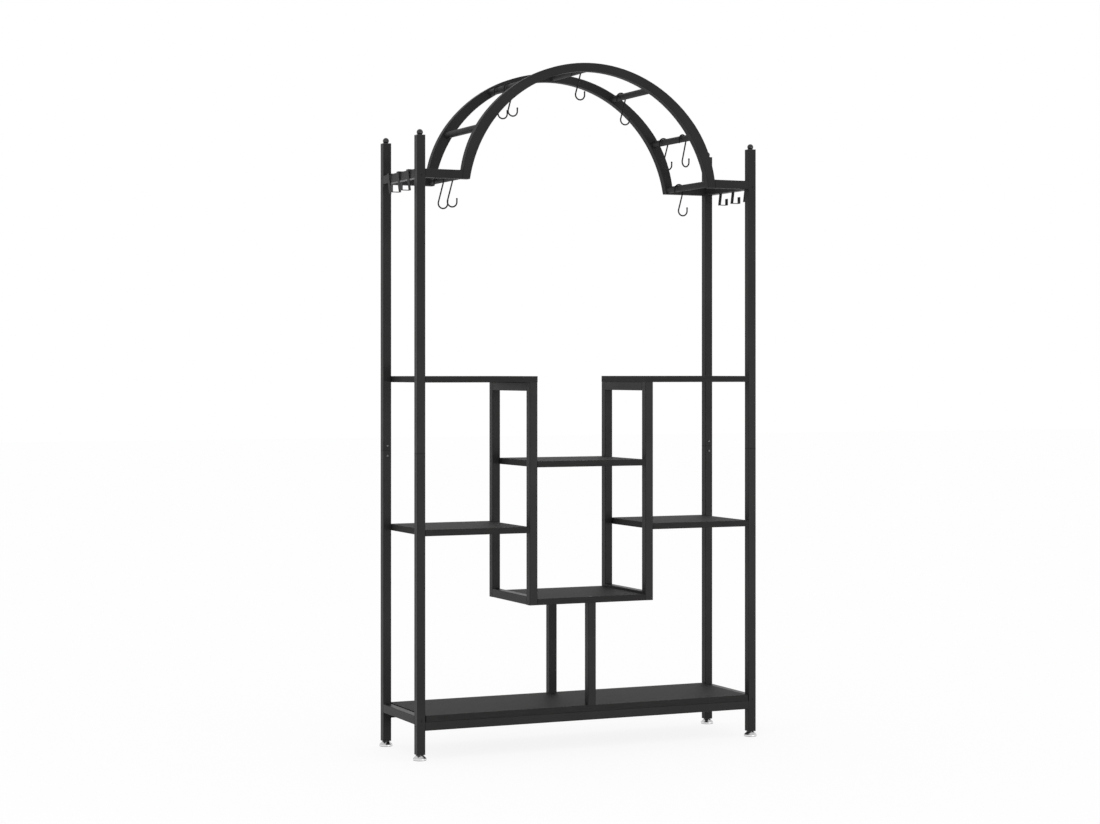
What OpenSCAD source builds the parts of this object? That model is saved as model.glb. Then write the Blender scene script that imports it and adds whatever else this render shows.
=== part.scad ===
// Tiered plant stand: square steel tube frame, seven boards, an arch and its hooks.
// Millimetres. Origin on the floor under the middle, +X to the viewer's right, front faces -Y, +Z up.

/* [Overall] */
// Width over the uprights
stand_w = 1100; // [1000:10:1200]
// Depth over the uprights
stand_d = 300; // [280:5:340]
// Side of the square tube
tube = 25; // [22:1:28]
// Wall of the square tube
tube_wall = 1.5; // [1:0.1:2]
// Outer corner radius of the square tube
tube_r = 1.8; // [1:0.1:3]

/* [Levels] */
// Bottom end of the uprights above the floor
upright_z = 16; // [15.5:0.5:22]
// Underside of the front and back bottom rails
bottom_rail_z = 84; // [60:1:110]
// Underside of the centre lower board
centre_lower_z = 427; // [380:1:470]
// Underside of the left and right middle boards
mid_board_z = 637; // [580:1:690]
// Underside of the centre upper board
centre_upper_z = 827; // [760:1:860]
// Joint between lower and upper uprights
joint_z = 872; // [857:1:897]
// Underside of the left and right top boards
top_board_z = 1074; // [1000:1:1120]
// Underside of the arch feet, arch rails and upper side rails
arch_foot_z = 1657.5; // [1610:0.5:1690]
// Top end of the upright tubes, under their caps
upright_top_z = 1776.5; // [1740:0.5:1800]

/* [Boards] */
// Thickness of every board
board_t = 18; // [15:1:22]
// Chamfer on the long edges of a board
board_chamfer = 0.6; // [0.2:0.1:1.2]
// Hairline left between a board's end and the tube beside it
board_gap = 0.3; // [0.1:0.1:1]
// Gap between an end of the bottom board and the side rail beside it
bottom_end_gap = 2.5; // [0.5:0.1:4]
// Height of the bottom board's top above the side rails
bottom_board_rise = 1.5; // [0:0.1:4]

/* [Centre frames] */
// Width over the two centre side frames
centre_w = 401; // [340:1:460]

/* [Arch] */
// Radius of the arch's outer edge over the crown
arch_r = 432.5; // [410:0.5:445]
// Height of the centre of that circle
arch_centre_z = 1578.5; // [1562:0.5:1597]
// Height of the centre of the inner edge's circle above it
arch_inner_rise = 15; // [12:0.5:18]
// Angle from the crown at which the outer edge turns in more tightly
arch_turn_angle = 50; // [46:0.5:54]
// Radius of the outer edge below that, as a share of the crown's
arch_turn_share = 0.802; // [0.78:0.002:0.82]
// Diameter of the rungs between the arches
rung_d = 20; // [16:1:22]
// Wall of the rungs
rung_wall = 1.5; // [1:0.1:2]
// Angle of the inner rungs from the crown
inner_rung_angle = 29.8; // [26:0.1:34]
// Angle of the outer rungs from the crown
outer_rung_angle = 57.1; // [50:0.1:62]

/* [Feet and caps] */
// Widest diameter of a levelling foot
foot_d = 38.6; // [32:0.2:44]
// Diameter of the foot's flat underside
foot_base_d = 36.6; // [34:0.2:38]
// Diameter at the top of the foot's cone
foot_neck_d = 21; // [16:0.5:24]
// Height of the top of the foot's rim above the floor
foot_rim_h = 5.6; // [5.2:0.1:8]
// Height of the upright band round the foot's rim
foot_band_h = 4.6; // [1:0.1:5]
// Height of the foot's cone above the floor
foot_h = 14.4; // [11:0.1:14.6]
// Diameter of the foot's threaded stud
stud_d = 8; // [6:0.5:10]
// Length of stud above the foot's cone
stud_l = 22; // [18:0.5:28]
// Length of the threaded insert in the upright
insert_l = 24; // [20:0.5:30]
// Diameter of the ball on an upright's cap
ball_d = 18.4; // [14:0.2:22]
// Height of the ball's centre above the cap's plate
ball_rise = 7.5; // [5:0.1:9]
// Thickness of the cap's plate
cap_t = 2; // [1.5:0.1:3]
// Depth of a cap or plug inside its tube
plug_l = 18; // [14:0.5:24]

/* [Fasteners] */
// Shank diameter of the frame bolts
bolt_d = 6; // [5:0.5:7]
// Head diameter of the frame bolts
bolt_head_d = 11; // [9:0.5:12]
// Shank diameter of the board screws
screw_d = 4.5; // [3.5:0.5:5.5]
// Head diameter of the board screws
screw_head_d = 8.5; // [7:0.5:10]
// Depth of a board screw in its board
screw_bite = 25; // [15:1:35]
// Depth of a screw that enters a board through its face
face_bite = 12; // [8:0.5:14]
// Shank diameter of the joint screws
joint_screw_d = 4; // [3:0.5:5]
// Head diameter of the joint screws
joint_head_d = 7; // [6:0.5:9]
// Distance of the joint screws above and below the joint
joint_screw_rise = 15; // [10:1:20]
// Half length of the joining sleeve
sleeve_half = 40; // [30:1:55]
// Wall of the joining sleeve
sleeve_wall = 1.5; // [1:0.1:2.5]

/* [S hooks] */
// Wire diameter of an S hook
hook_wire = 4.4; // [3.5:0.1:5]
// Room between the rung and the inside of the loop, each side
hook_slack = 2.7; // [1.5:0.05:4]
// Height between the centres of the two loops
hook_drop = 66; // [55:0.5:80]
// Sideways step between the centres of the two loops
hook_step = 13; // [6:0.5:18]
// Straight length at each end of the wire
hook_end = 9; // [5:0.5:14]
// Diameter of the ball on each end of the wire
hook_ball_d = 5.4; // [5.1:0.1:6]

/* [Strap hooks] */
// Width of the strap
strap_w = 15.5; // [10:0.5:18]
// Thickness of the strap
strap_t = 1.5; // [1:0.1:2]
// Spacing of the strap hooks along the rail
strap_pitch = 79; // [76:0.5:80]
// Place of the middle strap hook along the rail, towards the front when negative
strap_shift = -5; // [-5:0.5:5]
// Drop of the strap below the rail
strap_drop = 33; // [28:0.5:44]
// Reach of the hook, from the long leg to the short one
strap_reach = 25; // [18:0.5:32]
// Height of the short leg
strap_lip = 19.5; // [12:0.5:24]
// Depth of the strap's return behind the rail
strap_return = 10; // [6:0.5:16]
// Room between the rail's lower edge and the long leg
strap_rest = 0.8; // [0.3:0.1:2]
// Lean of the long leg from upright, in degrees
strap_lean = 7.2; // [5:0.1:12]

/* [Hidden] */
$fn = 48;

black = [0.13, 0.13, 0.13];
board_black = [0.17, 0.165, 0.16];
plug_black = [0.07, 0.07, 0.07];
bright = [0.82, 0.83, 0.85];
zinc = [0.6, 0.6, 0.62];

// Clearance round a plug, a screw or a sleeve
fit = 0.1;
// Clearance round the foot's stud, which turns
running_fit = 0.05;
// Room between a hook and what it hangs on
hang_gap = 0.3;
// Hairline at a weld, between one tube of a frame and the next
weld_seam = 0.05;
// How far a cutting solid stands past the face it cuts
over = 1;
// Chamfer at the top of a foot's stud
stud_tip = 1;
// Sides of the circles of an arch and of the thin wire and straps
arch_sides = 180;
wire_sides = 24;

post_x = stand_w / 2 - tube / 2;
post_y = stand_d / 2 - tube / 2;
inner_x = stand_w / 2 - tube;
inner_y = stand_d / 2 - tube;
bore = tube - 2 * tube_wall;
plug_side = bore - 2 * fit;

bottom_board_z = bottom_rail_z + tube;
bottom_top_z = bottom_board_z + board_t;
side_rail_z = bottom_top_z - bottom_board_rise - tube;
centre_frame_x = centre_w / 2 - tube / 2;
centre_inner_x = centre_w / 2 - tube;
frame_rail_z = top_board_z - tube;

// The arch is as deep as the tube at its crown and its feet, and a little deeper at its shoulders
arch_inner_z = arch_centre_z + arch_inner_rise;
arch_inner_r = arch_r - tube - arch_inner_rise;
arch_turn_r = arch_r * arch_turn_share;
arch_turn_x = (arch_r - arch_turn_r) * sin(arch_turn_angle);
arch_turn_z = arch_centre_z + (arch_r - arch_turn_r) * cos(arch_turn_angle);
// Level at which the crown is welded to the two shoulders
arch_weld_z = arch_centre_z + arch_r * cos(arch_turn_angle);
// Radial width of the rings that the arch is cut from
arch_blank = 2 * tube;

foot_rung_z = arch_foot_z + tube / 2;
foot_outer_x = arch_turn_x + sqrt(pow(arch_turn_r, 2) - pow(foot_rung_z - arch_turn_z, 2));
foot_inner_x = sqrt(pow(arch_inner_r, 2) - pow(foot_rung_z - arch_inner_z, 2));
foot_rung_x = (foot_outer_x + foot_inner_x) / 2;
rung_circle_r = (arch_r + arch_inner_r) / 2;
rung_circle_z = (arch_centre_z + arch_inner_z) / 2;
rung_angles = [-outer_rung_angle, -inner_rung_angle, 0, inner_rung_angle, outer_rung_angle];
// Middle of each rung in the XZ plane, from the left foot to the right one
rung_places = [
    [-foot_rung_x, foot_rung_z],
    for (a = rung_angles) [rung_circle_r * sin(a), rung_circle_z + rung_circle_r * cos(a)],
    [foot_rung_x, foot_rung_z]
];

// Bolts that cross inside an upright pass this far above and below the tube's middle
bolt_shift = bolt_d;
bottom_bolt_z = bottom_rail_z + tube / 2;
side_bolt_z = side_rail_z + tube / 2;
arch_bolt_z = foot_rung_z + bolt_shift;
upper_side_bolt_z = foot_rung_z - bolt_shift;
bolt_l = tube + plug_l;
screw_l = tube + screw_bite;
head_cone = 0.5;
// Width of the hexagon socket in a flat head, as a share of the shank
socket_share = 0.62;
// Pan head of a joint screw: its height, the share of its width at the top and its slot
joint_head_h = 2;
joint_head_share = 0.8;
slot_w = 0.8;
slot_depth = 0.7;

hook_loop_r = rung_d / 2 + hook_slack + hook_wire / 2;
hook_sink = hook_slack - hang_gap;
hook_span = sqrt(hook_step * hook_step + hook_drop * hook_drop);
// Angle at which the straight part of the wire leaves the upper loop, below the horizontal
hook_turn = asin(2 * hook_loop_r / hook_span) - atan(hook_step / hook_drop);
spine_l = sqrt(hook_span * hook_span - 4 * hook_loop_r * hook_loop_r);
// A straight length of wire is this much thinner than the bends and starts this far inside them
bend_step = 0.04;
bend_bite = 0.2;

// Rung number of each S hook, counted from the left foot, its place along the rung and its turn
hook_places = [
    [0, 66, 0], [0, -6, 0], [2, 68, 0], [2, -7, 0], [3, -39, 0],
    [4, 73, 0], [5, 64, 0], [5, -61, 19], [6, 60, 0]
];

// Outline of the square tube with rounded corners
module tube_outline(side, r) {
    square([side - 2 * r, side], center = true);
    square([side, side - 2 * r], center = true);
    for (x = [-1, 1], y = [-1, 1])
        translate([x * (side / 2 - r), y * (side / 2 - r)]) circle(r);
}

module tube_section() {
    difference() {
        tube_outline(tube, tube_r);
        square(bore, center = true);
    }
}

// A length of tube standing on z = 0
module tube_z(length) {
    linear_extrude(length) tube_section();
}

// A length of tube centred on the origin along X
module tube_x(length) {
    translate([-length / 2, 0, 0]) rotate([0, 90, 0]) tube_z(length);
}

// A length of tube centred on the origin along Y
module tube_y(length) {
    translate([0, -length / 2, 0]) rotate([-90, 0, 0]) tube_z(length);
}

// Turns a thing that points along +Z so that it points inward from the left or right
module inward_x(side) {
    rotate([0, -90 * side, 0]) children();
}

// Turns a thing that points along +Z so that it points inward from the front or back
module inward_y(side) {
    rotate([90 * side, 0, 0]) children();
}

// Countersunk fastener: its head is flush with z = 0 and its shank points along +Z
module flat_fastener(d, head_d, length) {
    head_h = (head_d - d) * head_cone;
    difference() {
        union() {
            cylinder(d1 = head_d, d2 = d, h = head_h);
            cylinder(d = d, h = length);
        }
        translate([0, 0, -over]) cylinder(d = d * socket_share, h = over + head_h, $fn = 6);
    }
}

// Hole for a countersunk fastener
module flat_hole(d, head_d, length) {
    head_h = (head_d - d) * head_cone;
    translate([0, 0, -over]) cylinder(d = head_d + 2 * fit, h = over);
    cylinder(d1 = head_d + 2 * fit, d2 = d + 2 * fit, h = head_h);
    translate([0, 0, -over]) cylinder(d = d + 2 * fit, h = length + over + fit);
}

module frame_bolt(length = bolt_l) {
    flat_fastener(bolt_d, bolt_head_d, length);
}

module frame_bolt_hole(length = bolt_l) {
    flat_hole(bolt_d, bolt_head_d, length);
}

module board_screw(length = screw_l) {
    flat_fastener(screw_d, screw_head_d, length);
}

module board_screw_hole(length = screw_l) {
    flat_hole(screw_d, screw_head_d, length);
}

// Where the board screws enter an upright from outside: children are placed for one upright
module upright_screws(x, y) {
    for (z = [mid_board_z, top_board_z] + [board_t, board_t] / 2)
        translate([x * stand_w / 2, y * post_y, z]) inward_x(x) children();
}

// Bolts that run along X through one upright into the bottom rail and the arch rail
module upright_bolts_x(x, y) {
    for (z = [bottom_bolt_z, arch_bolt_z])
        translate([x * stand_w / 2, y * post_y, z]) inward_x(x) children();
}

// Bolts that run along Y through one upright into the side rails
module upright_bolts_y(x, y) {
    for (z = [side_bolt_z, upper_side_bolt_z])
        translate([x * post_x, y * stand_d / 2, z]) inward_y(y) children();
}

// Screws at the joint, entering from the face that looks into the stand
module upright_joint_screws(x, y) {
    for (z = [joint_z - joint_screw_rise, joint_z + joint_screw_rise])
        translate([x * post_x, y * inner_y, z]) inward_y(-y) children();
}

module joint_screw() {
    cylinder(d = joint_screw_d, h = tube_wall + fit + sleeve_wall + over);
    translate([0, 0, -joint_head_h]) {
        difference() {
            cylinder(d1 = joint_head_d * joint_head_share, d2 = joint_head_d, h = joint_head_h / 2);
            translate([-joint_head_d / 2, -slot_w / 2, -over])
                cube([joint_head_d, slot_w, over + slot_depth]);
        }
        translate([0, 0, joint_head_h / 2]) cylinder(d = joint_head_d, h = joint_head_h / 2);
    }
}

module joint_screw_hole() {
    translate([0, 0, -over]) cylinder(d = joint_screw_d + 2 * fit, h = bore / 2 + over);
}

module upright_cuts(x, y) {
    upright_screws(x, y) board_screw_hole();
    upright_bolts_x(x, y) frame_bolt_hole();
    upright_bolts_y(x, y) frame_bolt_hole();
    upright_joint_screws(x, y) joint_screw_hole();
}

module lower_upright(x, y) {
    color(black) difference() {
        translate([x * post_x, y * post_y, upright_z]) tube_z(joint_z - upright_z);
        upright_cuts(x, y);
    }
}

module upper_upright(x, y) {
    color(black) difference() {
        translate([x * post_x, y * post_y, joint_z]) tube_z(upright_top_z - joint_z);
        upright_cuts(x, y);
    }
}

// Places its children at each upright's centre line, on the floor
module at_uprights() {
    for (x = [-1, 1], y = [-1, 1]) translate([x * post_x, y * post_y, 0]) children();
}

module joint_sleeves() {
    color(zinc) difference() {
        at_uprights() translate([0, 0, joint_z - sleeve_half]) linear_extrude(2 * sleeve_half)
            difference() {
                square(plug_side, center = true);
                square(plug_side - 2 * sleeve_wall, center = true);
            }
        for (x = [-1, 1], y = [-1, 1]) upright_joint_screws(x, y) joint_screw_hole();
    }
}

module joint_screws() {
    color(zinc) for (x = [-1, 1], y = [-1, 1]) upright_joint_screws(x, y) joint_screw();
}

module ball_caps() {
    color(plug_black) at_uprights() translate([0, 0, upright_top_z]) {
        linear_extrude(cap_t) tube_outline(tube, tube_r);
        translate([-plug_side / 2, -plug_side / 2, -plug_l]) cube([plug_side, plug_side, plug_l]);
        translate([0, 0, cap_t + ball_rise]) sphere(d = ball_d);
    }
}

// Threaded insert that closes the bottom of an upright
module foot_inserts() {
    color(plug_black) at_uprights() translate([0, 0, upright_z]) difference() {
        translate([-plug_side / 2, -plug_side / 2, 0]) cube([plug_side, plug_side, insert_l]);
        translate([0, 0, -over]) cylinder(d = stud_d + 2 * running_fit, h = insert_l + 2 * over);
    }
}

// Cone-topped foot on its stud
module foot(x, y) {
    color(bright) translate([x * post_x, y * post_y, 0]) rotate_extrude()
        polygon([
            [0, 0], [foot_base_d / 2, 0], [foot_d / 2, foot_rim_h - foot_band_h], [foot_d / 2, foot_rim_h],
            [foot_neck_d / 2, foot_h], [stud_d / 2, foot_h], [stud_d / 2, foot_h + stud_l - stud_tip],
            [stud_d / 2 - stud_tip, foot_h + stud_l], [0, foot_h + stud_l]
        ]);
}

module bottom_rail(y) {
    color(black) difference() {
        translate([0, y * post_y, bottom_bolt_z]) tube_x(2 * inner_x);
        bottom_screw_places(y) board_screw_hole(tube + face_bite);
        post_bolt_place(y) frame_bolt_hole(post_bolt_l);
    }
}

module bottom_side_rail(x) {
    color(black) translate([x * post_x, 0, side_bolt_z]) tube_y(2 * inner_y);
}

module upper_side_rail(x) {
    color(black) translate([x * post_x, 0, foot_rung_z]) tube_y(2 * inner_y);
}

// Screws that come up through a bottom rail into the bottom board
bottom_screw_x = stand_w * 0.35;
module bottom_screw_places(y) {
    for (x = [-1, 1]) translate([x * bottom_screw_x, y * post_y, bottom_rail_z]) children();
}

// Bolt that comes up through a bottom rail and the bottom board into a centre post
post_bolt_l = tube + board_t + plug_l - over;
module post_bolt_place(y) {
    translate([0, y * post_y, bottom_rail_z]) children();
}

// Bolt that goes down through the centre lower board into a centre post
post_top_bolt_l = board_t + plug_l - over;
module post_top_bolt_place(y) {
    translate([0, y * post_y, centre_lower_z + board_t]) rotate([180, 0, 0]) children();
}

// Flat board with chamfered long edges, from x0 to x1, its underside at z
module board(x0, x1, z, depth) {
    c = board_chamfer;
    h = depth / 2;
    translate([x0, 0, z]) rotate([90, 0, 90]) linear_extrude(x1 - x0)
        polygon([
            [-h + c, 0], [h - c, 0], [h, c], [h, board_t - c],
            [h - c, board_t], [-h + c, board_t], [-h, board_t - c], [-h, c]
        ]);
}

module bottom_board() {
    color(board_black) difference() {
        board(-inner_x + bottom_end_gap, inner_x - bottom_end_gap, bottom_board_z, stand_d);
        for (y = [-1, 1]) {
            bottom_screw_places(y) board_screw_hole(tube + face_bite);
            post_bolt_place(y) frame_bolt_hole(post_bolt_l);
        }
    }
}

module centre_post(y) {
    color(black) translate([0, y * post_y, bottom_top_z]) tube_z(centre_lower_z - bottom_top_z);
}

// Screws from outside a centre frame into the centre boards
module centre_board_screws(x) {
    for (y = [-1, 1], z = [centre_lower_z, centre_upper_z])
        translate([x * centre_w / 2, y * post_y, z + board_t / 2]) inward_x(x) children();
}

// Screws from inside a centre frame out into a middle board
module mid_board_inner_screws(x) {
    for (y = [-1, 1])
        translate([x * centre_inner_x, y * post_y, mid_board_z + board_t / 2]) inward_x(-x) children();
}

// Screws that come up through a centre frame's top rail into a top board
top_screw_y = stand_d * 0.2;
module top_board_inner_screws(x) {
    for (y = [-1, 1]) translate([x * centre_frame_x, y * top_screw_y, frame_rail_z]) children();
}

// Two posts and the two rails welded between them
module centre_frame(x) {
    color(black) difference() {
        union() {
            for (y = [-1, 1])
                translate([x * centre_frame_x, y * post_y, centre_lower_z])
                    tube_z(top_board_z - centre_lower_z);
            for (z = [centre_lower_z, frame_rail_z])
                translate([x * centre_frame_x, 0, z + tube / 2]) tube_y(2 * (inner_y - weld_seam));
        }
        centre_board_screws(x) board_screw_hole();
        mid_board_inner_screws(x) board_screw_hole();
        top_board_inner_screws(x) board_screw_hole(tube + face_bite);
    }
}

module centre_board(z) {
    color(board_black) difference() {
        board(-centre_inner_x + board_gap, centre_inner_x - board_gap, z, stand_d);
        for (x = [-1, 1]) centre_board_screws(x) board_screw_hole();
        for (y = [-1, 1]) post_top_bolt_place(y) frame_bolt_hole(post_top_bolt_l);
    }
}

// Left board when side is -1, right board when it is 1
module side_board(side, near, z) {
    a = side * near;
    b = side * (inner_x - board_gap);
    board(min(a, b), max(a, b), z, stand_d);
}

module mid_board(side) {
    color(board_black) difference() {
        side_board(side, centre_w / 2 + board_gap, mid_board_z);
        for (y = [-1, 1]) upright_screws(side, y) board_screw_hole();
        mid_board_inner_screws(side) board_screw_hole();
    }
}

module top_board(side) {
    color(board_black) difference() {
        side_board(side, centre_inner_x, top_board_z);
        for (y = [-1, 1]) upright_screws(side, y) board_screw_hole();
        top_board_inner_screws(side) board_screw_hole(tube + face_bite);
    }
}

// Half ring standing in the XZ plane; its profile's x is the radius and its y the depth
module arch_ring(x, z) {
    translate([x, 0, z]) rotate([90, 0, 0]) rotate_extrude(angle = 180, $fn = arch_sides) children();
}

module flat_profile(r, depth) {
    translate([r - arch_blank, -depth / 2]) square([arch_blank, depth]);
}

// Outer edge of the arch with the tube's rounded corners
module outer_profile(r) {
    translate([r - arch_blank, -tube / 2]) square([arch_blank - tube_r, tube]);
    translate([r - arch_blank, tube_r - tube / 2]) square([arch_blank, tube - 2 * tube_r]);
    for (y = [-1, 1]) translate([r - tube_r, y * (tube / 2 - tube_r)]) circle(tube_r);
}

// What is cut away inside the arch: it widens at both faces, in two steps, as the tube's corners do
module inner_profile(r) {
    half = tube / 2;
    step = tube_r * (1 - cos(45));
    flare = tube_r + over / tan(22.5);
    polygon([
        [r - arch_blank, -half - over], [r + flare, -half - over],
        [r + step, step - half], [r, tube_r - half], [r, half - tube_r], [r + step, half - step],
        [r + flare, half + over], [r - arch_blank, half + over]
    ]);
}

// Crown of the arch when side is 0, left or right shoulder when it is -1 or 1
function arch_part_r(side) = side == 0 ? arch_r : arch_turn_r;
function arch_part_z(side) = side == 0 ? arch_centre_z : arch_turn_z;

module arch_part_blank(side) {
    wide = arch_r + over;
    intersection() {
        arch_ring(side * arch_turn_x, arch_part_z(side)) outer_profile(arch_part_r(side));
        if (side == 0)
            translate([-wide, -tube, arch_weld_z]) cube([2 * wide, 2 * tube, wide]);
        else
            translate([min(0, side * wide), -tube, arch_foot_z])
                cube([wide, 2 * tube, arch_weld_z - weld_seam - arch_foot_z]);
    }
}

// Inside of a part of the arch, a given distance in from its outside
module arch_hollow(side, inset, depth) {
    difference() {
        arch_ring(side * arch_turn_x, arch_part_z(side)) flat_profile(arch_part_r(side) - inset, depth);
        arch_ring(0, arch_inner_z) flat_profile(arch_inner_r + inset, 2 * tube);
    }
}

// The crown and shoulders of the arch, and the short rail welded to each foot
module arch(y) {
    rail_l = inner_x - foot_rung_x;
    color(black) translate([0, y * post_y, 0]) {
        for (side = [-1, 0, 1]) difference() {
            arch_part_blank(side);
            arch_ring(0, arch_inner_z) inner_profile(arch_inner_r);
            arch_hollow(side, tube_wall, bore);
        }
        for (side = [-1, 1]) difference() {
            translate([side * (inner_x - rail_l / 2), 0, foot_rung_z]) tube_x(rail_l);
            translate([side * arch_turn_x, 0, arch_turn_z]) rotate([90, 0, 0])
                cylinder(r = arch_turn_r + weld_seam, h = 2 * tube, center = true, $fn = arch_sides);
        }
    }
}

// Thin plugs that close the open ends of an arch
foot_plug_t = 4;
module arch_foot_plugs(y) {
    translate([0, y * post_y, 0]) for (side = [-1, 1]) intersection() {
        arch_hollow(side, tube_wall + fit, plug_side);
        translate([min(0, side * arch_r), -tube, arch_foot_z]) cube([arch_r, 2 * tube, foot_plug_t]);
    }
}

// Round rung from the front arch to the back one
module rung(index) {
    place = rung_places[index];
    color(black) translate([place[0], 0, place[1]])
        rotate([90, 0, 0]) difference() {
            cylinder(d = rung_d, h = 2 * inner_y, center = true);
            cylinder(d = rung_d - 2 * rung_wall, h = 2 * inner_y + over, center = true);
        }
}

// Square plug inside a tube's end, from z = 0 to its length along +Z
module end_plug() {
    translate([-plug_side / 2, -plug_side / 2, 0]) cube([plug_side, plug_side, plug_l]);
}

module plug_bolt_hole() {
    cylinder(d = bolt_d + 2 * fit, h = bolt_l + over);
}

// A centre frame's bottom plugs stop below the screws that cross the tube there
frame_plug_l = board_t / 2 - screw_head_d / 2 - fit;
module tube_plugs() {
    color(plug_black) {
        difference() {
            for (x = [-1, 1], y = [-1, 1]) {
                for (z = [bottom_bolt_z, foot_rung_z])
                    translate([x * inner_x, y * post_y, z]) inward_x(x) end_plug();
                for (z = [side_bolt_z, foot_rung_z])
                    translate([x * post_x, y * inner_y, z]) inward_y(y) end_plug();
            }
            for (x = [-1, 1], y = [-1, 1]) {
                upright_bolts_x(x, y) plug_bolt_hole();
                upright_bolts_y(x, y) plug_bolt_hole();
            }
        }
        for (y = [-1, 1]) difference() {
            union() {
                translate([0, y * post_y, bottom_top_z]) end_plug();
                translate([0, y * post_y, centre_lower_z - plug_l]) end_plug();
            }
            post_bolt_place(y) frame_bolt_hole(post_bolt_l);
            post_top_bolt_place(y) frame_bolt_hole(post_top_bolt_l);
        }
        for (x = [-1, 1], y = [-1, 1])
            translate([x * centre_frame_x, y * post_y, centre_lower_z])
                linear_extrude(frame_plug_l) square(plug_side, center = true);
        for (y = [-1, 1]) arch_foot_plugs(y);
    }
}
module frame_bolts() {
    color(plug_black) {
        for (x = [-1, 1], y = [-1, 1]) {
            upright_bolts_x(x, y) frame_bolt();
            upright_bolts_y(x, y) frame_bolt();
        }
        for (y = [-1, 1]) {
            post_bolt_place(y) frame_bolt(post_bolt_l);
            post_top_bolt_place(y) frame_bolt(post_top_bolt_l);
        }
    }
}

module board_screws() {
    color(plug_black) {
        for (x = [-1, 1]) {
            for (y = [-1, 1]) upright_screws(x, y) board_screw();
            centre_board_screws(x) board_screw();
            mid_board_inner_screws(x) board_screw();
            top_board_inner_screws(x) board_screw(tube + face_bite);
        }
        for (y = [-1, 1]) bottom_screw_places(y) board_screw(tube + face_bite);
    }
}

// Loop of wire in the XZ plane round the origin, from one angle to another
module wire_loop(from, to) {
    rotate([90, 0, 0]) rotate([0, 0, from]) rotate_extrude(angle = to - from)
        translate([hook_loop_r, 0]) circle(d = hook_wire, $fn = wire_sides);
}

// Straight length of wire along -Z between two bends, or from one bend to an end
module wire_run(length, bites) {
    translate([0, 0, -length - (bites - 1) * bend_bite])
        cylinder(d = hook_wire - bend_step, h = length + bites * bend_bite, $fn = wire_sides);
}

// Upper half of an S hook: loop, straight end and ball; the lower half is the same, turned over
module hook_half() {
    wire_loop(-hook_turn, 180);
    translate([-hook_loop_r, 0, 0]) {
        wire_run(hook_end, 1);
        translate([0, 0, -hook_end]) sphere(d = hook_ball_d);
    }
}

module s_hook(number) {
    place = hook_places[number - 1];
    middle = rung_places[place[0]];
    color(plug_black)
        translate([middle[0], place[1], middle[1] - hook_sink])
        rotate([0, 0, place[2]]) {
            hook_half();
            translate([hook_step, 0, -hook_drop]) rotate([0, 180, 0]) hook_half();
            rotate([0, hook_turn, 0]) translate([hook_loop_r, 0, 0]) wire_run(spine_l, 2);
        }
}

// Flat strap along a list of points, bent at each
module strap_path(points) {
    for (i = [0:len(points) - 2]) {
        step = points[i + 1] - points[i];
        translate(points[i]) rotate(atan2(step[1], step[0]))
            translate([0, -strap_t / 2]) square([norm(step), strap_t]);
    }
    for (p = points) translate(p) circle(d = strap_t, $fn = wire_sides);
}

// Side view of a strap hook: x is outward from the rail's outer face, y is up from the rail's underside
half_t = strap_t / 2;
lean = tan(strap_lean);
strap_top_y = tube + hang_gap + half_t;
strap_out = strap_rest + half_t / cos(strap_lean);
strap_points = [
    [-tube - hang_gap - half_t, strap_top_y - strap_return],
    [-tube - hang_gap - half_t, strap_top_y],
    [strap_out + lean * strap_top_y, strap_top_y],
    [strap_out - lean * strap_drop, -strap_drop],
    [strap_out - lean * strap_drop + strap_reach, -strap_drop],
    [strap_out - lean * strap_drop + strap_reach, strap_lip - strap_drop]
];

// Hook over the left or right upper side rail, at a step of -1, 0 or 1 along it
module strap_hook(side, step) {
    color(black) translate([side * stand_w / 2, step * strap_pitch + strap_shift, arch_foot_z])
        rotate([90, 0, 90 - 90 * side]) translate([0, 0, -strap_w / 2])
            linear_extrude(strap_w) strap_path(strap_points);
}

lower_upright(-1, -1);  // lower_upright_front_left
lower_upright(1, -1);  // lower_upright_front_right
lower_upright(-1, 1);  // lower_upright_back_left
lower_upright(1, 1);  // lower_upright_back_right
upper_upright(-1, -1);  // upper_upright_front_left
upper_upright(1, -1);  // upper_upright_front_right
upper_upright(-1, 1);  // upper_upright_back_left
upper_upright(1, 1);  // upper_upright_back_right
joint_sleeves();
joint_screws();
ball_caps();
foot(-1, -1);  // foot_front_left
foot(1, -1);  // foot_front_right
foot(-1, 1);  // foot_back_left
foot(1, 1);  // foot_back_right
foot_inserts();
bottom_rail(-1);  // bottom_rail_front
bottom_rail(1);  // bottom_rail_back
bottom_side_rail(-1);  // bottom_side_rail_left
bottom_side_rail(1);  // bottom_side_rail_right
bottom_board();
centre_post(-1);  // centre_post_front
centre_post(1);  // centre_post_back
centre_frame(-1);  // centre_frame_left
centre_frame(1);  // centre_frame_right
centre_board(centre_lower_z);  // centre_lower_board
centre_board(centre_upper_z);  // centre_upper_board
mid_board(-1);  // mid_board_left
mid_board(1);  // mid_board_right
top_board(-1);  // top_board_left
top_board(1);  // top_board_right
arch(-1);  // arch_front
arch(1);  // arch_back
upper_side_rail(-1);  // upper_side_rail_left
upper_side_rail(1);  // upper_side_rail_right
rung(0);  // rung_foot_left
rung(1);  // rung_outer_left
rung(2);  // rung_inner_left
rung(3);  // rung_crown
rung(4);  // rung_inner_right
rung(5);  // rung_outer_right
rung(6);  // rung_foot_right
tube_plugs();
frame_bolts();
board_screws();
s_hook(1);  // s_hook_1
s_hook(2);  // s_hook_2
s_hook(3);  // s_hook_3
s_hook(4);  // s_hook_4
s_hook(5);  // s_hook_5
s_hook(6);  // s_hook_6
s_hook(7);  // s_hook_7
s_hook(8);  // s_hook_8
s_hook(9);  // s_hook_9
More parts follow.
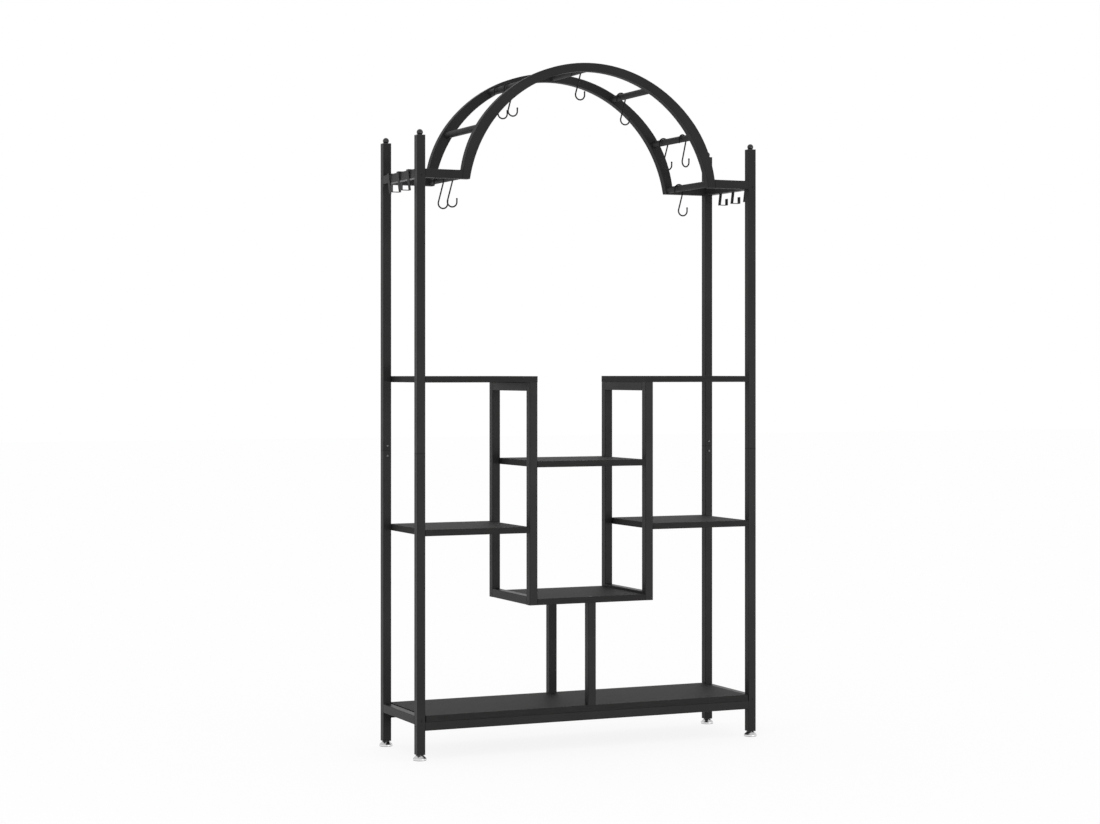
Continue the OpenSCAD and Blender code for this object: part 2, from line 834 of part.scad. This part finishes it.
strap_hook(-1, 1);  // strap_hook_left_back
strap_hook(-1, 0);  // strap_hook_left_middle
strap_hook(-1, -1);  // strap_hook_left_front
strap_hook(1, 1);  // strap_hook_right_back
strap_hook(1, 0);  // strap_hook_right_middle
strap_hook(1, -1);  // strap_hook_right_front
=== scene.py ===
"""Looks of the tiered plant stand. Metres, in the frame of the CAD model."""

import math

import bmesh
import bpy
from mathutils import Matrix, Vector


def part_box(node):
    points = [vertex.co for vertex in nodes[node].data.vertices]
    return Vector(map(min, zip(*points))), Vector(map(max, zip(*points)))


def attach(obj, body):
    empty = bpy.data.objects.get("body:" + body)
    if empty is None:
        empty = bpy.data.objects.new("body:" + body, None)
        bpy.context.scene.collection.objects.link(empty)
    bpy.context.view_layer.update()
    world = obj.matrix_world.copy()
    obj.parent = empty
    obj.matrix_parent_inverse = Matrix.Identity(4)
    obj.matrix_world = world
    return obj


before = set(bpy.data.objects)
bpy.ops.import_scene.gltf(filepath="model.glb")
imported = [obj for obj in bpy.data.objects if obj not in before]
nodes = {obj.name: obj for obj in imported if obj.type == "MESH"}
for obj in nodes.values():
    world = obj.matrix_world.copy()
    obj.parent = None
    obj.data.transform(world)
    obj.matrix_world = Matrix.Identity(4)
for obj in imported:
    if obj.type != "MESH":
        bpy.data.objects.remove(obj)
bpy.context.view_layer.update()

# Camera of the photograph: place, heading and focal length fitted to the uprights and boards
CAMERA_PLACE = (-2.92637, -6.26071, 1.10575)
CAMERA_HEADING = math.radians(-24.03)
CAMERA_LEVEL = math.radians(90)
PHOTO_W = 1100
PHOTO_H = 824
FOCAL_PX = 2308.4
AXIS_X = 529.35
AXIS_Y = 371.42
SENSOR = 36.0
CLIP_START = 0.05
CLIP_END = 200

STEEL_STARTS = (
    "lower_upright",
    "upper_upright",
    "bottom_rail",
    "bottom_side_rail",
    "centre_post",
    "centre_frame",
    "upper_side_rail",
    "strap_hook",
)
STEEL_NODES = [n for n in nodes if n.startswith(STEEL_STARTS)]
ARCH_NODES = [n for n in nodes if n.startswith(("arch_", "rung_"))]
RUNG_NODES = [n for n in nodes if n.startswith("rung_")]
WIRE_NODES = [n for n in nodes if n.startswith("s_hook")]
FOOT_NODES = [n for n in nodes if n.startswith("foot_") and n != "foot_inserts"]
BOARD_NODES = [n for n in nodes if n.endswith("board") or "_board_" in n]
UPPER_NODES = [n for n in nodes if n.startswith("upper_upright")]
CENTRE_FRAMES = ["centre_frame_left", "centre_frame_right"]


# Node helpers

def new_material(name):
    material = bpy.data.materials.new(name)
    material.use_nodes = True
    tree = material.node_tree
    tree.nodes.clear()
    output = tree.nodes.new("ShaderNodeOutputMaterial")
    shader = tree.nodes.new("ShaderNodeBsdfPrincipled")
    tree.links.new(shader.outputs["BSDF"], output.inputs["Surface"])
    return material, tree, shader


def coordinates(tree, scale=(1, 1, 1)):
    place = tree.nodes.new("ShaderNodeTexCoord")
    mapping = tree.nodes.new("ShaderNodeMapping")
    mapping.inputs["Scale"].default_value = scale
    tree.links.new(place.outputs["Object"], mapping.inputs["Vector"])
    return mapping.outputs["Vector"]


def noise(tree, vector, scale, detail, roughness=0.5):
    node = tree.nodes.new("ShaderNodeTexNoise")
    node.inputs["Scale"].default_value = scale
    node.inputs["Detail"].default_value = detail
    node.inputs["Roughness"].default_value = roughness
    tree.links.new(vector, node.inputs["Vector"])
    return node.outputs["Fac"]


def ramp(tree, value, span, first, second):
    """From the first colour to the second as a value crosses the span."""
    node = tree.nodes.new("ShaderNodeValToRGB")
    start, end = node.color_ramp.elements
    start.position, end.position = span
    start.color = (*first, 1)
    end.color = (*second, 1)
    tree.links.new(value, node.inputs["Fac"])
    return node.outputs["Color"]


def spread(tree, value, span):
    """Stretch a value of 0 to 1 over the span."""
    node = tree.nodes.new("ShaderNodeMapRange")
    node.inputs["To Min"].default_value = span[0]
    node.inputs["To Max"].default_value = span[1]
    tree.links.new(value, node.inputs["Value"])
    return node.outputs["Result"]


def mix_colour(tree, factor, base, other):
    node = tree.nodes.new("ShaderNodeMix")
    node.data_type = "RGBA"
    tree.links.new(factor, node.inputs["Factor"])
    tree.links.new(base, node.inputs["A"])
    node.inputs["B"].default_value = (*other, 1)
    return node.outputs["Result"]


def bump(tree, height, strength, distance, before=None):
    node = tree.nodes.new("ShaderNodeBump")
    node.inputs["Strength"].default_value = strength
    node.inputs["Distance"].default_value = distance
    tree.links.new(height, node.inputs["Height"])
    if before is not None:
        tree.links.new(before, node.inputs["Normal"])
    return node.outputs["Normal"]


def below_height(tree, at, full, none):
    """1 below the height full, falling to 0 at the height none."""
    parts = tree.nodes.new("ShaderNodeSeparateXYZ")
    tree.links.new(at, parts.inputs["Vector"])
    node = tree.nodes.new("ShaderNodeMapRange")
    node.inputs["From Min"].default_value = none
    node.inputs["From Max"].default_value = full
    tree.links.new(parts.outputs["Z"], node.inputs["Value"])
    return node.outputs["Result"]


def plug_in(tree, shader, colour, roughness, normal):
    tree.links.new(colour, shader.inputs["Base Color"])
    tree.links.new(roughness, shader.inputs["Roughness"])
    tree.links.new(normal, shader.inputs["Normal"])


# Materials

# Values of a noise between which a finish goes from its first colour to its second
COAT_CLOUDY = (0.3, 0.75)
COAT_SPECKLED = (0.66, 0.74)
LAMINATE_GRAINED = (0.35, 0.68)
MOTTLED = (0.35, 0.7)
PLATE_RUBBED = (0.3, 0.72)

NONE = (0, 0, 0)
FULL = (1, 1, 1)
COAT_DARK = (0.0175, 0.0171, 0.0172)
COAT_LIGHT = (0.0235, 0.0229, 0.0230)
COAT_SPECK = (0.03, 0.0295, 0.0295)
COAT_SPECULAR = 0.08
LAMINATE_DARK = (0.0165, 0.0158, 0.0157)
LAMINATE_LIGHT = (0.0225, 0.0215, 0.0213)
LAMINATE_SPECULAR = 0.1
GRAIN_STRETCH = (1.2, 16, 16)
FINE_GRAIN_STRETCH = (3, 60, 60)
TURNED_STRETCH = (20, 20, 1500)
TURNED_DEPTH = 0.00004

# Top and polish of the upright rim of a foot
RIM_TOP = 0.0056
RIM_BLEND = 0.0004
RIM_COLOUR = (0.76, 0.76, 0.765)


def powder_coat(name, rough):
    """Black powder coat: a fine pebble, a little cloudiness and a few paler specks."""
    material, tree, shader = new_material(name)
    at = coordinates(tree)
    cloud = noise(tree, at, scale=7, detail=3)
    colour = ramp(tree, cloud, COAT_CLOUDY, COAT_DARK, COAT_LIGHT)
    speck = ramp(tree, noise(tree, at, scale=420, detail=1), COAT_SPECKLED, NONE, FULL)
    colour = mix_colour(tree, speck, colour, COAT_SPECK)
    roughness = spread(tree, noise(tree, at, scale=24, detail=2), rough)
    pebble = noise(tree, at, scale=900, detail=2)
    normal = bump(tree, pebble, strength=0.12, distance=0.00008)
    plug_in(tree, shader, colour, roughness, normal)
    shader.inputs["Specular IOR Level"].default_value = COAT_SPECULAR
    return material


def board_laminate(name, rough):
    """Matte black laminate with a faint wood grain pressed into it, running along X."""
    material, tree, shader = new_material(name)
    grain = noise(tree, coordinates(tree, GRAIN_STRETCH), scale=18, detail=4, roughness=0.6)
    fine = noise(tree, coordinates(tree, FINE_GRAIN_STRETCH), scale=24, detail=2, roughness=0.6)
    colour = ramp(tree, grain, LAMINATE_GRAINED, LAMINATE_DARK, LAMINATE_LIGHT)
    roughness = spread(tree, fine, rough)
    normal = bump(tree, grain, strength=0.16, distance=0.0002)
    normal = bump(tree, fine, strength=0.12, distance=0.00008, before=normal)
    plug_in(tree, shader, colour, roughness, normal)
    shader.inputs["Specular IOR Level"].default_value = LAMINATE_SPECULAR
    return material


def mottled(name, dark, light, cloud, polish, rough, relief, strength, depth, specular):
    """A finish whose colour, polish and relief vary a little from place to place.

    cloud, polish and relief each hold the scale and the detail of their own noise.
    """
    material, tree, shader = new_material(name)
    at = coordinates(tree)
    colour = ramp(tree, noise(tree, at, *cloud), MOTTLED, dark, light)
    roughness = spread(tree, noise(tree, at, *polish), rough)
    normal = bump(tree, noise(tree, at, *relief), strength, depth)
    plug_in(tree, shader, colour, roughness, normal)
    shader.inputs["Specular IOR Level"].default_value = specular
    return material


def plated_steel(name, dark, light, rough, scratch, rim=None):
    """Plated steel with faint turning marks round Z, small rubbed patches and maybe a brighter rim."""
    material, tree, shader = new_material(name)
    at = coordinates(tree)
    rubbed = noise(tree, at, scale=90, detail=3)
    colour = ramp(tree, rubbed, PLATE_RUBBED, dark, light)
    if rim is not None:
        on_rim = below_height(tree, at, RIM_TOP - RIM_BLEND, RIM_TOP + RIM_BLEND)
        colour = mix_colour(tree, on_rim, colour, rim)
    roughness = spread(tree, rubbed, rough)
    turned = noise(tree, coordinates(tree, TURNED_STRETCH), scale=1.0, detail=2)
    normal = bump(tree, turned, scratch, TURNED_DEPTH)
    plug_in(tree, shader, colour, roughness, normal)
    shader.inputs["Metallic"].default_value = 1.0
    return material


STEEL = powder_coat("black_satin_coat", rough=(0.32, 0.42))
ARCH_STEEL = powder_coat("black_flat_coat", rough=(0.44, 0.56))
BOARD = board_laminate("black_laminate", rough=(0.56, 0.7))

# Smooth dip coat on the wire of the S hooks
WIRE = mottled(
    "black_wire_coat",
    dark=(0.011, 0.0107, 0.011),
    light=(0.017, 0.0165, 0.0168),
    cloud=(60, 2),
    polish=(200, 2),
    rough=(0.34, 0.46),
    relief=(500, 1),
    strength=0.08,
    depth=0.00006,
    specular=0.1,
)

# Gloss moulded plastic of the ball caps
CAPS = mottled(
    "black_gloss_plastic",
    dark=(0.012, 0.0115, 0.012),
    light=(0.017, 0.0165, 0.017),
    cloud=(40, 2),
    polish=(160, 3),
    rough=(0.1, 0.19),
    relief=(260, 1),
    strength=0.04,
    depth=0.00005,
    specular=0.5,
)

# Matte moulded plastic of the plugs and the inserts, also used for the dark pads of painted shadow
# under the feet
PLUGS_AND_SHADOW_PADS = mottled(
    "black_matte_plastic",
    dark=(0.016, 0.016, 0.016),
    light=(0.022, 0.022, 0.022),
    cloud=(80, 2),
    polish=(300, 2),
    rough=(0.5, 0.64),
    relief=(1400, 1),
    strength=0.12,
    depth=0.00005,
    specular=0.2,
)

# Near-black painted shadow in the joints where the upper uprights stand on the lower ones
SEAM_SHADOW = mottled(
    "painted_seam_shadow",
    dark=(0.004, 0.004, 0.004),
    light=(0.008, 0.0078, 0.0078),
    cloud=(120, 3),
    polish=(240, 2),
    rough=(0.7, 0.85),
    relief=(900, 2),
    strength=0.1,
    depth=0.00004,
    specular=0.05,
)

# Satin black finish of the bolts and board screws, a little rubbed
FASTENERS = mottled(
    "black_oxide",
    dark=(0.015, 0.0148, 0.015),
    light=(0.021, 0.0206, 0.0208),
    cloud=(140, 3),
    polish=(260, 2),
    rough=(0.34, 0.46),
    relief=(700, 2),
    strength=0.14,
    depth=0.00005,
    specular=0.1,
)

CHROME = plated_steel(
    "chrome_plate",
    dark=(0.5, 0.5, 0.505),
    light=(0.6, 0.6, 0.605),
    rough=(0.24, 0.34),
    scratch=0.05,
    rim=RIM_COLOUR,
)
ZINC = plated_steel(
    "zinc_plate",
    dark=(0.46, 0.46, 0.475),
    light=(0.6, 0.605, 0.62),
    rough=(0.28, 0.42),
    scratch=0.1,
)
DARK_ZINC = plated_steel(
    "dark_zinc_plate",
    dark=(0.045, 0.045, 0.046),
    light=(0.085, 0.085, 0.087),
    rough=(0.3, 0.42),
    scratch=0.1,
)


def dress(names, material):
    for name in names:
        slots = nodes[name].data.materials
        slots.clear()
        slots.append(material)


dress(STEEL_NODES, STEEL)
dress(ARCH_NODES, ARCH_STEEL)
dress(WIRE_NODES, WIRE)
dress(FOOT_NODES, CHROME)
dress(BOARD_NODES, BOARD)
dress(["ball_caps"], CAPS)
dress(["tube_plugs", "foot_inserts"], PLUGS_AND_SHADOW_PADS)
dress(["frame_bolts", "board_screws"], FASTENERS)
dress(["joint_sleeves"], ZINC)
dress(["joint_screws"], DARK_ZINC)


# Mesh helpers

def finish_mesh(name, mesh, material, body="frame"):
    bmesh.ops.recalc_face_normals(mesh, faces=mesh.faces)
    data = bpy.data.meshes.new(name)
    mesh.to_mesh(data)
    mesh.free()
    data.materials.append(material)
    data.shade_smooth()
    made = bpy.data.objects.new(name, data)
    bpy.context.scene.collection.objects.link(made)
    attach(made, body)


def join_two(mesh, first, second):
    """Faces between two rings of vertices."""
    count = len(first)
    for i in range(count):
        n = (i + 1) % count
        mesh.faces.new((first[i], first[n], second[n], second[i]))


def join_rings(mesh, rings):
    for first, second in zip(rings, rings[1:]):
        join_two(mesh, first, second)


# Weld beads, which the solids leave out. END, SINK and LIFT are shares of a bead's radius.

BEAD_R = 0.0013
BEAD_SIDES = 8
BEAD_END = 0.35
BEAD_SINK = 0.3
BEAD_LIFT = 0.25
RIPPLE = 0.16
RIPPLE_LENGTH = 0.0022
STRAIGHT_STEPS = 46
ROUND_STEPS = 120


def bead(mesh, points, closed):
    """A rippled bead of weld along the points."""
    count = len(points)
    last = count - 1
    rings = []
    run = 0.0
    for i, point in enumerate(points):
        after = points[(i + 1) % count] if closed or i < last else point
        before = points[i - 1] if closed or i > 0 else point
        along = (after - before).normalized()
        if not rings:
            side = along.orthogonal().normalized()
        else:
            side = (side - along * side.dot(along)).normalized()
        up = along.cross(side)
        radius = BEAD_R * (1 + RIPPLE * math.sin(2 * math.pi * run / RIPPLE_LENGTH))
        if not closed and i in (0, last):
            radius = BEAD_R * BEAD_END
        ring = []
        for k in range(BEAD_SIDES):
            a = 2 * math.pi * k / BEAD_SIDES
            ring.append(mesh.verts.new(point + radius * (math.cos(a) * side + math.sin(a) * up)))
        rings.append(ring)
        if i < last:
            run += (points[i + 1] - point).length
    join_rings(mesh, rings)
    if closed:
        join_two(mesh, rings[-1], rings[0])
    else:
        mesh.faces.new(list(reversed(rings[0])))
        mesh.faces.new(rings[-1])


def straight_points(start, end):
    return [start.lerp(end, i / (STRAIGHT_STEPS - 1)) for i in range(STRAIGHT_STEPS)]


def circle_points(centre, radius):
    points = []
    for i in range(ROUND_STEPS):
        a = 2 * math.pi * i / ROUND_STEPS
        points.append(centre + Vector((radius * math.cos(a), 0, radius * math.sin(a))))
    return points


def rung_welds():
    """Beads round both ends of each rung."""
    mesh = bmesh.new()
    sink = BEAD_R * BEAD_SINK
    for name in RUNG_NODES:
        low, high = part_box(name)
        middle = (low + high) / 2
        radius = (high.x - low.x) / 2 + BEAD_R * BEAD_LIFT
        for y in (low.y + sink, high.y - sink):
            bead(mesh, circle_points(Vector((middle.x, y, middle.z)), radius), True)
    finish_mesh("rung_welds", mesh, ARCH_STEEL)


def frame_welds():
    """Beads in the inner corners of the centre frames."""
    mesh = bmesh.new()
    for name in CENTRE_FRAMES:
        low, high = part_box(name)
        tube = high.x - low.x
        inset = tube + BEAD_R * BEAD_SINK
        for y in (low.y + inset, high.y - inset):
            for z in (low.z + inset, high.z - inset):
                start = Vector((low.x + BEAD_R, y, z))
                end = Vector((high.x - BEAD_R, y, z))
                bead(mesh, straight_points(start, end), False)
    finish_mesh("centre_frame_welds", mesh, STEEL)


# Thin dark pad filling the chamfer round the underside of each foot: painted contact shadow at its
# lower edge

FOOT_CHAMFER = 0.001
SHADOW_PAD_TOP = 0.0013
SHADOW_PAD_PROUD = 0.00012
SHADOW_PAD_INNER = 0.003
SHADOW_PAD_SIDES = 96


def foot_shadow_pads():
    for name in FOOT_NODES:
        low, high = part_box(name)
        centre = (low + high) / 2
        rim = (high.x - low.x) / 2
        base = rim - FOOT_CHAMFER
        profile = (
            (base - SHADOW_PAD_INNER, SHADOW_PAD_PROUD),
            (base + SHADOW_PAD_PROUD, SHADOW_PAD_PROUD),
            (rim + SHADOW_PAD_PROUD, FOOT_CHAMFER),
            (rim + SHADOW_PAD_PROUD, SHADOW_PAD_TOP),
            (rim - SHADOW_PAD_PROUD, SHADOW_PAD_TOP + SHADOW_PAD_PROUD),
        )
        mesh = bmesh.new()
        rings = []
        for radius, height in profile:
            ring = []
            for k in range(SHADOW_PAD_SIDES):
                a = 2 * math.pi * k / SHADOW_PAD_SIDES
                x = centre.x + radius * math.cos(a)
                y = centre.y + radius * math.sin(a)
                ring.append(mesh.verts.new((x, y, low.z + height)))
            rings.append(ring)
        join_rings(mesh, rings)
        # The dark ring paints the contact shadow along the foot's lower edge
        finish_mesh("shadow_pad_" + name, mesh, PLUGS_AND_SHADOW_PADS, name)


# Painted shadow line where an upper upright stands on a lower one. EDGE and BOW are shares of its
# height
# above and below its middle: it is tucked in at the edges and proud between the bows.

SEAM_H = 0.0013
SEAM_PROUD = 0.00012
SEAM_EDGE = 0.5
SEAM_BOW = 0.3
SEAM_CORNER = 0.0018
CORNER_STEPS = 6


def square_ring(mesh, centre, half, corner, z):
    """Vertices round a square with round corners."""
    ring = []
    for turn in range(4):
        middle = math.pi * (0.25 + turn / 2)
        corner_x = centre.x + math.copysign(half - corner, math.cos(middle))
        corner_y = centre.y + math.copysign(half - corner, math.sin(middle))
        for step in range(CORNER_STEPS + 1):
            a = middle + math.pi / 2 * (step / CORNER_STEPS - 0.5)
            x = corner_x + corner * math.cos(a)
            y = corner_y + corner * math.sin(a)
            ring.append(mesh.verts.new((x, y, z)))
    return ring


def painted_seam_shadows():
    """Thin dark bands round the butted ends of the uprights: painted shadow in the joints."""
    profile = (
        (-SEAM_EDGE, -SEAM_PROUD),
        (-SEAM_BOW, SEAM_PROUD),
        (SEAM_BOW, SEAM_PROUD),
        (SEAM_EDGE, -SEAM_PROUD),
    )
    mesh = bmesh.new()
    for name in UPPER_NODES:
        low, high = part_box(name)
        half = (high.x - low.x) / 2
        centre = (low + high) / 2
        rings = []
        for share, proud in profile:
            z = low.z + SEAM_H * share
            rings.append(square_ring(mesh, centre, half + proud, SEAM_CORNER + proud, z))
        join_rings(mesh, rings)
    finish_mesh("painted_seam_shadows", mesh, SEAM_SHADOW)


rung_welds()
frame_welds()
painted_seam_shadows()
foot_shadow_pads()


# Floor, light and camera

FLOOR_HALF = 30.0
FLOOR_WHITE = (0.96, 0.96, 0.96, 1)
PURE_WHITE = (1, 1, 1, 1)
STAGE_WHITE_SHARE = 0.88
WORLD_LIGHT = 0.95


def seen_directly(tree, path):
    """1 for rays from the camera and for reflections, otherwise 0."""
    seen = tree.nodes.new("ShaderNodeMath")
    seen.operation = "MAXIMUM"
    tree.links.new(path.outputs["Is Camera Ray"], seen.inputs[0])
    tree.links.new(path.outputs["Is Glossy Ray"], seen.inputs[1])
    return seen.outputs["Value"]


def white_stage_material():
    """Mostly plain white to the camera and in reflections, and a white floor to light that bounces."""
    material = bpy.data.materials.new("white_stage")
    material.use_nodes = True
    tree = material.node_tree
    tree.nodes.clear()
    output = tree.nodes.new("ShaderNodeOutputMaterial")
    path = tree.nodes.new("ShaderNodeLightPath")
    plain = tree.nodes.new("ShaderNodeBsdfDiffuse")
    plain.inputs["Color"].default_value = FLOOR_WHITE
    white = tree.nodes.new("ShaderNodeEmission")
    white.inputs["Color"].default_value = PURE_WHITE
    both = tree.nodes.new("ShaderNodeMixShader")
    share = tree.nodes.new("ShaderNodeMath")
    share.operation = "MULTIPLY"
    share.inputs[1].default_value = STAGE_WHITE_SHARE
    tree.links.new(seen_directly(tree, path), share.inputs[0])
    tree.links.new(share.outputs["Value"], both.inputs["Fac"])
    tree.links.new(plain.outputs["BSDF"], both.inputs[1])
    tree.links.new(white.outputs["Emission"], both.inputs[2])
    tree.links.new(both.outputs["Shader"], output.inputs["Surface"])
    return material


def make_floor():
    signs = ((-1, -1), (1, -1), (1, 1), (-1, 1))
    mesh = bmesh.new()
    corners = [mesh.verts.new((x * FLOOR_HALF, y * FLOOR_HALF, 0)) for x, y in signs]
    mesh.faces.new(corners)
    data = bpy.data.meshes.new("floor")
    mesh.to_mesh(data)
    mesh.free()
    data.materials.append(white_stage_material())
    floor = bpy.data.objects.new("floor", data)
    bpy.context.scene.collection.objects.link(floor)


def background(tree, strength):
    node = tree.nodes.new("ShaderNodeBackground")
    node.inputs["Color"].default_value = PURE_WHITE
    node.inputs["Strength"].default_value = strength
    return node.outputs["Background"]


def make_world():
    """A plain white surround, a little softer as light than it is to the camera."""
    world = bpy.data.worlds.new("studio")
    bpy.context.scene.world = world
    world.use_nodes = True
    tree = world.node_tree
    tree.nodes.clear()
    output = tree.nodes.new("ShaderNodeOutputWorld")
    path = tree.nodes.new("ShaderNodeLightPath")
    seen_through = tree.nodes.new("ShaderNodeMath")
    seen_through.operation = "MAXIMUM"
    both = tree.nodes.new("ShaderNodeMixShader")
    tree.links.new(seen_directly(tree, path), seen_through.inputs[0])
    tree.links.new(path.outputs["Is Transmission Ray"], seen_through.inputs[1])
    tree.links.new(seen_through.outputs["Value"], both.inputs["Fac"])
    tree.links.new(background(tree, WORLD_LIGHT), both.inputs[1])
    tree.links.new(background(tree, 1.0), both.inputs[2])
    tree.links.new(both.outputs["Shader"], output.inputs["Surface"])


def soft_box(name, place, aim, size, power):
    data = bpy.data.lights.new(name, "AREA")
    data.shape = "RECTANGLE"
    data.size = size[0]
    data.size_y = size[1]
    data.energy = power
    lamp = bpy.data.objects.new(name, data)
    lamp.location = place
    lamp.rotation_euler = (Vector(aim) - Vector(place)).to_track_quat("-Z", "Y").to_euler()
    bpy.context.scene.collection.objects.link(lamp)


def make_camera():
    data = bpy.data.cameras.new("photo_camera")
    data.sensor_fit = "HORIZONTAL"
    data.sensor_width = SENSOR
    data.lens = FOCAL_PX * SENSOR / PHOTO_W
    data.shift_x = (PHOTO_W / 2 - AXIS_X) / PHOTO_W
    data.shift_y = (AXIS_Y - PHOTO_H / 2) / PHOTO_W
    data.clip_start = CLIP_START
    data.clip_end = CLIP_END
    camera = bpy.data.objects.new("photo_camera", data)
    camera.location = CAMERA_PLACE
    camera.rotation_euler = (CAMERA_LEVEL, 0, CAMERA_HEADING)
    bpy.context.scene.collection.objects.link(camera)
    bpy.context.scene.camera = camera


make_floor()
make_world()
soft_box("key", place=(-4.2, -2.2, 3.6), aim=(0, 0, 1.0), size=(2.4, 2.4), power=10)
soft_box("low_front", place=(3.0, -6.4, 0.45), aim=(0, 0, 0.6), size=(3.4, 0.7), power=85)
make_camera()
bpy.context.scene.view_settings.view_transform = "Standard"
